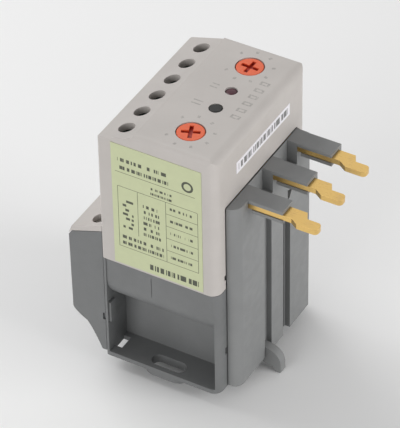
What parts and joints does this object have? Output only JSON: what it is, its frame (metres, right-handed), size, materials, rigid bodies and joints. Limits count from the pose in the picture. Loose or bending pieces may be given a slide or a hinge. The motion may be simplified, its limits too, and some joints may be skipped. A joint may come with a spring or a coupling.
{
  "type": "electronic motor overload relay",
  "caption": "Plug-on electronic motor overload relay with blade pins, two setting dials, reset button, status lamp and screw terminals.",
  "frame": {"origin": "middle of the flat rear plate of the base", "axes": "+Z out of the operator face, +X towards the plug pins, -Y towards the rating label"},
  "size_m": [0.0646, 0.0451, 0.0779],
  "materials": {
    "housing_grey": "fine matt moulding",
    "plug_grey": "fine matt moulding",
    "block_grey": "fine matt moulding",
    "shell_grey": "fine matt moulding",
    "deck_grey": "fine matt moulding",
    "label_green": "satin film with printed rules",
    "sticker_white": "satin film with a printed bar pattern",
    "blade_brass": "bright rolled strip",
    "contact_brass": "rolled strip",
    "core_iron": "laminated stack",
    "coil_copper": "enamelled copper wire, wound",
    "screw_steel": "bright zinc plating",
    "clamp_steel": "zinc plated strip",
    "moulding_green": "matt moulding",
    "board_green": "solder resist with pads and tracks",
    "header_black": "matt moulding",
    "relay_white": "satin moulding",
    "capacitor_black": "shrink sleeve with a pale stripe",
    "chip_black": "matt moulding",
    "dial_orange": "satin moulding",
    "trimmer_grey": "matt moulding",
    "lamp_lens": "clear tinted lens",
    "button_black": "matt moulding",
    "switch_black": "matt moulding",
    "spring_steel": "drawn wire"
  },
  "bodies": {
    "housing": {"base_housing": "housing_grey", "front_cover": "shell_grey", "plug_block": "plug_grey", "terminal_block": "block_grey", "terminal_deck": "deck_grey", "rating_label": "label_green", "side_label": "sticker_white", "busbar_1": "blade_brass", "busbar_2": "blade_brass", "busbar_3": "blade_brass", "transformer_core_1": "core_iron", "transformer_coil_1": "coil_copper", "transformer_core_3": "core_iron", "transformer_coil_3": "coil_copper", "deck_screw_1": "screw_steel", "deck_screw_2": "screw_steel", "control_terminal_block": "moulding_green", "control_contact_1": "contact_brass", "control_contact_2": "contact_brass", "control_contact_3": "contact_brass", "control_contact_4": "contact_brass", "control_contact_5": "contact_brass", "control_contact_6": "contact_brass", "front_board": "board_green", "main_board": "board_green", "board_header": "header_black", "output_relay": "relay_white", "supply_capacitor": "capacitor_black", "controller_chip": "chip_black", "current_trimmer": "trimmer_grey", "delay_trimmer": "trimmer_grey", "status_lamp": "lamp_lens", "reset_switch": "switch_black", "reset_spring": "spring_steel"},
    "current_dial": {"current_dial": "dial_orange"},
    "delay_dial": {"delay_dial": "dial_orange"},
    "reset_button": {"reset_button": "button_black"},
    "load_screw_1": {"load_screw_1": "screw_steel"},
    "load_clamp_1": {"load_clamp_1": "clamp_steel"},
    "load_screw_2": {"load_screw_2": "screw_steel"},
    "load_clamp_2": {"load_clamp_2": "clamp_steel"},
    "load_screw_3": {"load_screw_3": "screw_steel"},
    "load_clamp_3": {"load_clamp_3": "clamp_steel"},
    "control_screw_1": {"control_screw_1": "screw_steel"},
    "control_clamp_1": {"control_clamp_1": "clamp_steel"},
    "control_screw_2": {"control_screw_2": "screw_steel"},
    "control_clamp_2": {"control_clamp_2": "clamp_steel"},
    "control_screw_3": {"control_screw_3": "screw_steel"},
    "control_clamp_3": {"control_clamp_3": "clamp_steel"},
    "control_screw_4": {"control_screw_4": "screw_steel"},
    "control_clamp_4": {"control_clamp_4": "clamp_steel"},
    "control_screw_5": {"control_screw_5": "screw_steel"},
    "control_clamp_5": {"control_clamp_5": "clamp_steel"},
    "control_screw_6": {"control_screw_6": "screw_steel"},
    "control_clamp_6": {"control_clamp_6": "clamp_steel"}
  },
  "joints": [
    {"name": "current_dial_turn", "type": "hinge", "parent": "housing", "child": "current_dial", "pos_m": [0.005, -0.01438, 0.0739], "axis": [0, 0, 1], "range_deg": [-135, 135]},
    {"name": "delay_dial_turn", "type": "hinge", "parent": "housing", "child": "delay_dial", "pos_m": [0.005, 0.01438, 0.0739], "axis": [0, 0, 1], "range_deg": [-135, 135]},
    {"name": "reset_press", "type": "slide", "parent": "housing", "child": "reset_button", "axis": [0, 0, -1], "range_m": [0, 0.0008], "stiffness_N_per_m": 600, "springref_m": -0.002, "deforming": ["reset_spring"]},
    {"name": "load_screw_1_turn", "type": "hinge", "parent": "housing", "child": "load_screw_1", "pos_m": [-0.0199, -0.0099, 0.034], "axis": [0, 0, 1], "range_deg": [-1080, 0]},
    {"name": "load_clamp_1_rise", "type": "slide", "parent": "housing", "child": "load_clamp_1", "axis": [0, 0, 1], "range_m": [0, 0.0021]},
    {"name": "load_screw_2_turn", "type": "hinge", "parent": "housing", "child": "load_screw_2", "pos_m": [-0.0199, 0, 0.034], "axis": [0, 0, 1], "range_deg": [-1080, 0]},
    {"name": "load_clamp_2_rise", "type": "slide", "parent": "housing", "child": "load_clamp_2", "axis": [0, 0, 1], "range_m": [0, 0.0021]},
    {"name": "load_screw_3_turn", "type": "hinge", "parent": "housing", "child": "load_screw_3", "pos_m": [-0.0199, 0.0099, 0.034], "axis": [0, 0, 1], "range_deg": [-1080, 0]},
    {"name": "load_clamp_3_rise", "type": "slide", "parent": "housing", "child": "load_clamp_3", "axis": [0, 0, 1], "range_m": [0, 0.0021]},
    {"name": "control_screw_1_turn", "type": "hinge", "parent": "housing", "child": "control_screw_1", "pos_m": [-0.01055, -0.0179, 0.065], "axis": [0, 0, 1], "range_deg": [-1152, 0]},
    {"name": "control_clamp_1_rise", "type": "slide", "parent": "housing", "child": "control_clamp_1", "axis": [0, 0, 1], "range_m": [0, 0.0016]},
    {"name": "control_screw_2_turn", "type": "hinge", "parent": "housing", "child": "control_screw_2", "pos_m": [-0.01055, -0.01074, 0.065], "axis": [0, 0, 1], "range_deg": [-1152, 0]},
    {"name": "control_clamp_2_rise", "type": "slide", "parent": "housing", "child": "control_clamp_2", "axis": [0, 0, 1], "range_m": [0, 0.0016]},
    {"name": "control_screw_3_turn", "type": "hinge", "parent": "housing", "child": "control_screw_3", "pos_m": [-0.01055, -0.00358, 0.065], "axis": [0, 0, 1], "range_deg": [-1152, 0]},
    {"name": "control_clamp_3_rise", "type": "slide", "parent": "housing", "child": "control_clamp_3", "axis": [0, 0, 1], "range_m": [0, 0.0016]},
    {"name": "control_screw_4_turn", "type": "hinge", "parent": "housing", "child": "control_screw_4", "pos_m": [-0.01055, 0.00358, 0.065], "axis": [0, 0, 1], "range_deg": [-1152, 0]},
    {"name": "control_clamp_4_rise", "type": "slide", "parent": "housing", "child": "control_clamp_4", "axis": [0, 0, 1], "range_m": [0, 0.0016]},
    {"name": "control_screw_5_turn", "type": "hinge", "parent": "housing", "child": "control_screw_5", "pos_m": [-0.01055, 0.01074, 0.065], "axis": [0, 0, 1], "range_deg": [-1152, 0]},
    {"name": "control_clamp_5_rise", "type": "slide", "parent": "housing", "child": "control_clamp_5", "axis": [0, 0, 1], "range_m": [0, 0.0016]},
    {"name": "control_screw_6_turn", "type": "hinge", "parent": "housing", "child": "control_screw_6", "pos_m": [-0.01055, 0.0179, 0.065], "axis": [0, 0, 1], "range_deg": [-1152, 0]},
    {"name": "control_clamp_6_rise", "type": "slide", "parent": "housing", "child": "control_clamp_6", "axis": [0, 0, 1], "range_m": [0, 0.0016]}
  ],
  "couplings": [
    {"joint": "load_screw_1_turn", "follows": "load_clamp_1_rise", "rad_per_m": -8976},
    {"joint": "load_screw_2_turn", "follows": "load_clamp_2_rise", "rad_per_m": -8976},
    {"joint": "load_screw_3_turn", "follows": "load_clamp_3_rise", "rad_per_m": -8976},
    {"joint": "control_screw_1_turn", "follows": "control_clamp_1_rise", "rad_per_m": -12566},
    {"joint": "control_screw_2_turn", "follows": "control_clamp_2_rise", "rad_per_m": -12566},
    {"joint": "control_screw_3_turn", "follows": "control_clamp_3_rise", "rad_per_m": -12566},
    {"joint": "control_screw_4_turn", "follows": "control_clamp_4_rise", "rad_per_m": -12566},
    {"joint": "control_screw_5_turn", "follows": "control_clamp_5_rise", "rad_per_m": -12566},
    {"joint": "control_screw_6_turn", "follows": "control_clamp_6_rise", "rad_per_m": -12566}
  ]
}
